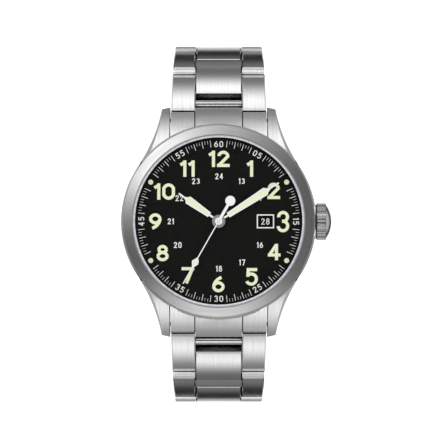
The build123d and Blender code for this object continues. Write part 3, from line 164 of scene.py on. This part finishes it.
def flat_position(graph):
    """The place on the piece with its height left out."""
    parts = graph.add("ShaderNodeSeparateXYZ")
    graph.link(graph.position(), parts.inputs[0])
    flat = graph.add("ShaderNodeCombineXYZ")
    graph.link(parts.outputs["X"], flat.inputs["X"])
    graph.link(parts.outputs["Y"], flat.inputs["Y"])
    return flat.outputs[0]


def streaks_round_case(graph):
    """Fine lines that run round the Z axis."""
    flat = flat_position(graph)
    radius = graph.vector("LENGTH", flat).outputs["Value"]
    direction = graph.vector("NORMALIZE", flat).outputs[0]
    along = graph.vector("SCALE", direction, scale=streak_ends_per_turn).outputs[0]
    across = graph.add("ShaderNodeCombineXYZ")
    graph.link(graph.math("MULTIPLY", radius, streaks_per_metre), across.inputs["Z"])
    lines = graph.vector("ADD", along, across.outputs[0]).outputs[0]
    return graph.noise(lines, **streak_look)


# Painted shade: ambient occlusion turns the base colour dark grey where nearby surfaces close a
# point in, in crevices, gaps and along stepped edges; the reaches below set how far it looks
painted_shade_reach = 2.0 * MM
strap_painted_shade_reach = 3.2 * MM
crown_painted_shade_reach = 0.25 * MM
hand_painted_edge_shade_reach = 0.35 * MM
# The colour of the painted shade
painted_shade_grey = (0.03, 0.03, 0.03, 1.0)
crevice_samples = 8
closed_in_share = 0.38
open_share = 0.72


def painted_crevice_shade(graph, tint, reach=painted_shade_reach):
    """The tint, with painted shade that turns it dark grey where other surfaces close it in."""
    around = graph.add("ShaderNodeAmbientOcclusion", samples=crevice_samples)
    around.inputs["Distance"].default_value = reach
    openness = graph.spread(around.outputs["AO"], 0.0, 1.0, closed_in_share, open_share)
    return graph.blend(openness, painted_shade_grey, tint)


streak_dark_shares = (0.93, 0.93, 0.935)
brush_rotation = 0.25
brush_depth = 0.0015 * MM
brush_strength = 0.5
brush_roughness_step = 0.03


def brushed_steel(name, streaks, axis, tone, roughness, anisotropy, reach=painted_shade_reach):
    material, graph, shader = new_material(name)
    lines = streaks(graph)
    dark = tuple(share * tone for share in streak_dark_shares) + (1.0,)
    light = (tone, tone, tone, 1.0)
    tint = graph.blend(graph.spread(lines, 0.0, 1.0), dark, light)
    # The base colour gets painted shade in crevices, within the given reach
    graph.link(painted_crevice_shade(graph, tint, reach), shader.inputs["Base Color"])
    dull = roughness + brush_roughness_step
    keen = roughness - brush_roughness_step
    graph.link(graph.spread(lines, dull, keen), shader.inputs["Roughness"])
    shader.inputs["Metallic"].default_value = 1.0
    shader.inputs["Anisotropic"].default_value = anisotropy
    shader.inputs["Anisotropic Rotation"].default_value = brush_rotation
    tangent = graph.add("ShaderNodeTangent", direction_type="RADIAL", axis=axis)
    graph.link(tangent.outputs[0], shader.inputs["Tangent"])
    bump(graph, shader, lines, brush_depth, brush_strength)
    return material


wear_dark_shares = (0.94, 0.94, 0.95)
wear_gloss_share = 0.8
wear_dull_share = 1.2


def polished_steel(name, tone, roughness, reach=painted_shade_reach):
    material, graph, shader = new_material(name)
    wear = graph.noise(graph.position(), **wear_look)
    dark = tuple(share * tone for share in wear_dark_shares) + (1.0,)
    light = (tone, tone, tone, 1.0)
    tint = graph.blend(graph.spread(wear, 0.0, 1.0), dark, light)
    # The base colour gets painted shade in crevices, within the given reach
    graph.link(painted_crevice_shade(graph, tint, reach), shader.inputs["Base Color"])
    glossy = roughness * wear_gloss_share
    dull = roughness * wear_dull_share
    graph.link(graph.spread(wear, glossy, dull), shader.inputs["Roughness"])
    shader.inputs["Metallic"].default_value = 1.0
    return material


coarse_grain = 0.002 * MM
fine_grain = 0.0005 * MM
grain_look = {"detail": 3.0, "roughness": 0.6}
lacquer_grain_scale = 3000.0
lacquer_roughness = 0.35
lacquer_specular = 0.3


def paint(
    name,
    base,
    roughness,
    grain_scale,
    grain_share,
    grain_height=coarse_grain,
    specular=0.5,
    painted_edge_shade_reach=None,
):
    material, graph, shader = new_material(name)
    grain = graph.noise(graph.position(), grain_scale, **grain_look)
    dark = tuple(value * (1 - grain_share) for value in base[:3]) + (1.0,)
    light = tuple(min(1.0, value * (1 + grain_share)) for value in base[:3]) + (1.0,)
    tint = graph.blend(graph.spread(grain, 0.0, 1.0), dark, light)
    # Painted shade along edges and in hollows, when a reach for it is given
    if painted_edge_shade_reach:
        tint = painted_crevice_shade(graph, tint, painted_edge_shade_reach)
    graph.link(tint, shader.inputs["Base Color"])
    shader.inputs["Roughness"].default_value = roughness
    shader.inputs["Specular IOR Level"].default_value = specular
    bump(graph, shader, grain, grain_height)
    return material


# Where the crystal's bevel lies, and the look of the painted glint put on it
bevel_edge = (0.9, 0.97)
wall_edge = (0.1, 0.3)
painted_glint_stretch = (1.0, 1.0, 0.2)
painted_glint_look = {"scale": 1500.0, "detail": 2.0, "roughness": 0.7}
crystal_roughness = 0.02
crystal_ior = 1.77
coating_ior = 1.45
flat_cover_share = 0.7
bevel_cover_share = 0.9


def sapphire(name):
    """Clear where the crystal is flat, with a painted pale blue-white glint on its bevel."""
    material, graph, shader = new_material(name)
    facing = graph.add("ShaderNodeNewGeometry")
    normal = graph.add("ShaderNodeSeparateXYZ")
    graph.link(facing.outputs["Normal"], normal.inputs[0])
    upright = graph.math("ABSOLUTE", normal.outputs["Z"])
    not_flat = graph.spread(upright, 1.0, 0.0, *bevel_edge)
    not_wall = graph.spread(upright, 0.0, 1.0, *wall_edge)
    bevel = graph.math("MULTIPLY", not_flat, not_wall)
    stretched = graph.vector("MULTIPLY", graph.position(), painted_glint_stretch).outputs[0]
    painted_glint_streaks = graph.spread(graph.noise(stretched, **painted_glint_look), 0.0, 1.0)
    # Painted glint: pale blue-white streaked colour on the bevel, standing in for the light it
    # reflects and bends
    painted_glint = graph.blend(painted_glint_streaks, colour(212, 215, 227), colour(250, 251, 255))
    graph.link(graph.blend(bevel, (0.0, 0.0, 0.0, 1.0), painted_glint), shader.inputs["Base Color"])
    gloss = graph.add("ShaderNodeFresnel")
    gloss.inputs["IOR"].default_value = coating_ior
    flat_cover = graph.math("MULTIPLY", gloss.outputs[0], flat_cover_share)
    bevel_cover = graph.math("MULTIPLY", bevel, bevel_cover_share)
    cover = graph.math("MAXIMUM", flat_cover, bevel_cover)
    outer_side = graph.math("SUBTRACT", 1.0, facing.outputs["Backfacing"])
    graph.link(graph.math("MULTIPLY", cover, outer_side), shader.inputs["Alpha"])
    shader.inputs["Roughness"].default_value = crystal_roughness
    shader.inputs["IOR"].default_value = crystal_ior
    return material


bezel_steel = brushed_steel("bezel steel", streaks_round_case, "Z", 0.8, 0.3, 0.6)
lug_steel = brushed_steel("lug steel", streaks_along_strap, "X", 0.8, 0.24, 0.6)
strap_steel = brushed_steel(
    "strap steel", streaks_along_strap, "X", 0.8, 0.2, 0.5, strap_painted_shade_reach
)
crown_steel = polished_steel("crown steel", 0.66, 0.17, crown_painted_shade_reach)
bright_steel = polished_steel("bright steel", 0.85, 0.08)
satin_steel = polished_steel("satin steel", 0.62, 0.3)
brass_plate = polished_steel("brass plate", 0.6, 0.3)
dial_paint = paint("dial paint", colour(24, 24, 23), 0.75, 2600.0, 0.18, fine_grain, 0.05)
lume_paint = paint("luminous paint", colour(240, 250, 212), 0.8, 4000.0, 0.03, fine_grain, 0.1)
white_ink = paint("white ink", colour(245, 245, 242), 0.7, 4000.0, 0.03, fine_grain, 0.1)
# The seconds hand's lacquer has painted shade along its edges and round the hub
white_lacquer = paint(
    "white lacquer", colour(252, 252, 252), lacquer_roughness, lacquer_grain_scale, 0.02,
    fine_grain, lacquer_specular, hand_painted_edge_shade_reach,
)
black_rubber = paint("black rubber", colour(30, 30, 31), 0.8, 2500.0, 0.25)
pale_nylon = paint("pale nylon", colour(158, 159, 165), 0.5, 2500.0, 0.06, fine_grain)
pale_plastic = paint("moulded plastic", colour(214, 212, 206), 0.5, 1500.0, 0.05)
copper = paint("copper winding", colour(176, 98, 52), 0.4, 2500.0, 0.2)
board = paint("circuit board", colour(28, 92, 58), 0.35, 1800.0, 0.2)
crystal_glass = sapphire("sapphire crystal")


def hub_lacquer(name, hub_radius):
    """White lacquer, with a bare polished hub."""
    material, graph, shader = new_material(name)
    radius = graph.vector("LENGTH", flat_position(graph)).outputs["Value"]
    hub = graph.math("LESS_THAN", radius, hub_radius)
    grain = graph.noise(graph.position(), lacquer_grain_scale, **grain_look)
    grain = graph.spread(grain, 0.0, 1.0)
    lacquer = graph.blend(grain, colour(246, 246, 246), colour(255, 255, 255))
    bare = graph.blend(grain, colour(150, 150, 152), colour(164, 164, 166))
    # Painted shade along the hands' edges and round the stacked hubs
    tint = painted_crevice_shade(graph, graph.blend(hub, lacquer, bare), hand_painted_edge_shade_reach)
    graph.link(tint, shader.inputs["Base Color"])
    shader.inputs["Roughness"].default_value = lacquer_roughness
    shader.inputs["Specular IOR Level"].default_value = lacquer_specular
    return material


hand_hub_radius = 1.4 * MM
hand_lacquer = hub_lacquer("hand lacquer", hand_hub_radius)


def tipped_brass(name, tip_z):
    """Brass, with the end of the arbor that shows above the hands in white."""
    material, graph, shader = new_material(name)
    parts = graph.add("ShaderNodeSeparateXYZ")
    graph.link(graph.position(), parts.inputs[0])
    tip = graph.math("GREATER_THAN", parts.outputs["Z"], tip_z)
    wear = graph.noise(graph.position(), **wear_look)
    metal = graph.blend(graph.spread(wear, 0.0, 1.0), colour(190, 160, 96), colour(214, 184, 116))
    graph.link(graph.blend(tip, metal, colour(250, 250, 250)), shader.inputs["Base Color"])
    graph.link(graph.math("SUBTRACT", 1.0, tip), shader.inputs["Metallic"])
    graph.link(graph.spread(wear, 0.25, 0.4), shader.inputs["Roughness"])
    return material


arbor_tip_z = 7.6 * MM
arbor_brass = tipped_brass("arbor brass", arbor_tip_z)

finishes = {
    bezel_steel: ["bezel", "caseback"],
    lug_steel: ["case_middle"],
    strap_steel: ["end_link_12", "end_link_6", "clasp_cover", "inner_blade", "middle_blade"],
    bright_steel: [
        "rehaut_ring", "spring_bars", "strap_spring_bar", "fold_pin", "cover_pin",
        "crown_tube", "push_button_left", "push_button_right",
    ],
    crown_steel: ["crown"],
    satin_steel: ["stem", "latch_block", "stator", "rotor", "battery"],
    arbor_brass: ["seconds_wheel"],
    brass_plate: [
        "main_plate", "train_bridge", "third_wheel", "centre_wheel", "hour_wheel", "idler_wheel",
    ],
    dial_paint: ["dial", "date_disc"],
    lume_paint: ["hour_numerals", "hour_hand_lume", "minute_hand_lume", "seconds_hand_lume"],
    white_ink: ["dial_print", "date_numbers", "date_frame"],
    hand_lacquer: ["hour_hand", "minute_hand"],
    white_lacquer: ["seconds_hand"],
    black_rubber: ["caseback_seal", "crown_gasket"],
    pale_nylon: ["crystal_gasket"],
    pale_plastic: ["movement_holder"],
    copper: ["coil"],
    board: ["circuit_block"],
    crystal_glass: ["crystal"],
}
for material, names in finishes.items():
    for name in names:
        nodes[name].data.materials.clear()
        nodes[name].data.materials.append(material)
for name, node in nodes.items():
    if name.startswith("link_"):
        node.data.materials.clear()
        node.data.materials.append(strap_steel)


# Floor, below the lowest place that the opened bracelet reaches, then the world and the studio that
# the metal reflects
floor_size = 6.0
floor_z = -73.0 * MM
floor_glow = 0.42
floor_mesh = bpy.data.meshes.new("floor")
half = floor_size / 2
floor_corners = [(-half, -half, 0), (half, -half, 0), (half, half, 0), (-half, half, 0)]
floor_mesh.from_pydata(floor_corners, [], [(0, 1, 2, 3)])
floor = bpy.data.objects.new("floor", floor_mesh)
floor.location = (0, 0, floor_z)
scene.collection.objects.link(floor)
floor_material = bpy.data.materials.new("floor")
floor_material.use_nodes = True
graph = Graph(floor_material.node_tree)
matt = graph.add("ShaderNodeBsdfDiffuse")
matt.inputs["Color"].default_value = (0.9, 0.9, 0.9, 1.0)
glow = graph.add("ShaderNodeEmission")
glow.inputs["Color"].default_value = (1.0, 1.0, 1.0, 1.0)
rays = graph.add("ShaderNodeLightPath")
shown = graph.math(
    "MAXIMUM",
    rays.outputs["Is Camera Ray"],
    graph.math("MAXIMUM", rays.outputs["Is Glossy Ray"], rays.outputs["Is Transmission Ray"]),
)
graph.link(graph.math("MULTIPLY", shown, floor_glow), glow.inputs["Strength"])
surface = graph.add("ShaderNodeAddShader")
graph.link(matt.outputs[0], surface.inputs[0])
graph.link(glow.outputs[0], surface.inputs[1])
see_through = graph.add("ShaderNodeBsdfTransparent")
facing = graph.add("ShaderNodeNewGeometry")
either = graph.add("ShaderNodeMixShader")
graph.link(facing.outputs["Backfacing"], either.inputs["Fac"])
graph.link(surface.outputs[0], either.inputs[1])
graph.link(see_through.outputs[0], either.inputs[2])
output = graph.add("ShaderNodeOutputMaterial")
graph.link(either.outputs[0], output.inputs["Surface"])
floor_mesh.materials.append(floor_material)

world = bpy.data.worlds.new("studio")
scene.world = world
world.use_nodes = True
graph = Graph(world.node_tree)
background = graph.add("ShaderNodeBackground")
background.inputs["Color"].default_value = (1.0, 1.0, 1.0, 1.0)
background.inputs["Strength"].default_value = 1.0
output = graph.add("ShaderNodeOutputWorld")
graph.link(background.outputs[0], output.inputs["Surface"])
world.cycles.sampling_method = "NONE"


def studio_card(name, mesh):
    """A card or light that only the metal's reflections show; the world alone lights the object."""
    card = bpy.data.objects.new(name, mesh)
    scene.collection.objects.link(card)
    card.visible_camera = False
    card.visible_diffuse = False
    card.visible_transmission = False
    card.visible_shadow = False
    material = bpy.data.materials.new(name)
    material.use_nodes = True
    graph = Graph(material.node_tree)
    glow = graph.add("ShaderNodeEmission")
    output = graph.add("ShaderNodeOutputMaterial")
    graph.link(glow.outputs[0], output.inputs["Surface"])
    mesh.materials.append(material)
    return card, graph, glow


half_turn = 180
full_turn = 360


def degree_ramp(graph, value, stops, full):
    return graph.ramp(value, [(angle / full, level) for angle, level in stops])


def angle_from_zenith(graph, parts):
    return graph.math("DIVIDE", graph.math("ARCCOSINE", parts.outputs["Z"]), radians(half_turn))


# Two bands of light, the upper close round the camera: level by clock angle, and by angle from
# straight up
upper_lights = [
    (0, 0.66), (10, 0.6), (25, 0.29), (45, 0.12), (60, 0.1), (90, 0.09), (130, 0.13), (150, 0.85),
    (170, 1.4), (200, 1.32), (225, 0.42), (240, 0.07), (265, 0.07), (285, 0.42), (300, 2.1),
    (330, 2.2), (345, 1.1), (360, 0.66),
]
lower_lights = [
    (0, 1.45), (30, 1.2), (55, 0.3), (90, 0.6), (125, 0.2), (150, 0.95), (180, 1.28), (205, 1.05),
    (230, 0.2), (265, 0.2), (290, 0.8), (320, 1.5), (360, 1.45),
]
upper_band = [(0, 0), (13, 0), (18, 1), (29, 1), (37, 0), (180, 0)]
lower_band = [
    (0, 0), (35, 0), (43, 1), (49, 1), (54, 0.68), (59, 0.36), (64, 0.15), (72, 0.08), (85, 0.4),
    (92, 0.5), (180, 0.5),
]
studio_radius = 2.0
dome_mesh = bpy.data.meshes.new("studio_dome")
shell = bmesh.new()
bmesh.ops.create_uvsphere(shell, u_segments=96, v_segments=48, radius=studio_radius)
shell.to_mesh(dome_mesh)
shell.free()
_, graph, glow = studio_card("studio_dome", dome_mesh)
parts = graph.add("ShaderNodeSeparateXYZ")
graph.link(graph.vector("NORMALIZE", graph.position()).outputs[0], parts.inputs[0])
from_zenith = angle_from_zenith(graph, parts)
clock = graph.math("ARCTAN2", parts.outputs["X"], parts.outputs["Y"])
clock = graph.math("ADD", graph.math("DIVIDE", clock, radians(full_turn)), 1.0)
clock = graph.math("FRACT", clock)
layers = [
    graph.math(
        "MULTIPLY",
        degree_ramp(graph, from_zenith, band, half_turn),
        degree_ramp(graph, clock, lights, full_turn),
    )
    for band, lights in ((upper_band, upper_lights), (lower_band, lower_lights))
]
graph.link(graph.math("ADD", *layers), glow.inputs["Strength"])

# A card laid on the floor, which the steep ends of the links reflect: pale under the watch, black
# round it, then grey, and brighter to the sides
card_levels = ((88 * MM, 0.9), (110 * MM, 0.01), (143 * MM, 0.02), (213 * MM, 0.2))
card_side_share = 1.6
side_level = 0.45
side_edge = (0.8, 0.95)
card_outer_radius = 2.0
floor_card_lift = 0.5 * MM
ring_mesh = bpy.data.meshes.new("floor_card")
ring_steps = 96
ring_points = []
for radius in (card_levels[0][0] / card_side_share, card_outer_radius):
    for step in range(ring_steps):
        turn = radians(full_turn * step / ring_steps)
        ring_points.append((radius * sin(turn), radius * cos(turn), 0))
ring_faces = [
    (step, (step + 1) % ring_steps, ring_steps + (step + 1) % ring_steps, ring_steps + step)
    for step in range(ring_steps)
]
ring_mesh.from_pydata(ring_points, [], ring_faces)
floor_card, graph, glow = studio_card("floor_card", ring_mesh)
floor_card.location = (0, 0, floor_z + floor_card_lift)
sideways = graph.vector("MULTIPLY", graph.position(), (card_side_share, 1.0, 1.0)).outputs[0]
reach = graph.vector("LENGTH", sideways).outputs["Value"]
last_reach = card_levels[-1][0]
card_stops = [(place / last_reach, level) for place, level in card_levels]
fade = graph.ramp(graph.math("DIVIDE", reach, last_reach), card_stops)
parts = graph.add("ShaderNodeSeparateXYZ")
graph.link(graph.vector("NORMALIZE", sideways).outputs[0], parts.inputs[0])
to_the_side = graph.math("ABSOLUTE", parts.outputs["X"])
beside = graph.spread(to_the_side, 0.0, side_level, *side_edge)
beyond = graph.spread(reach, 0.0, 1.0, card_levels[2][0], last_reach)
graph.link(graph.math("MULTIPLY_ADD", beside, beyond, fade), glow.inputs["Strength"])
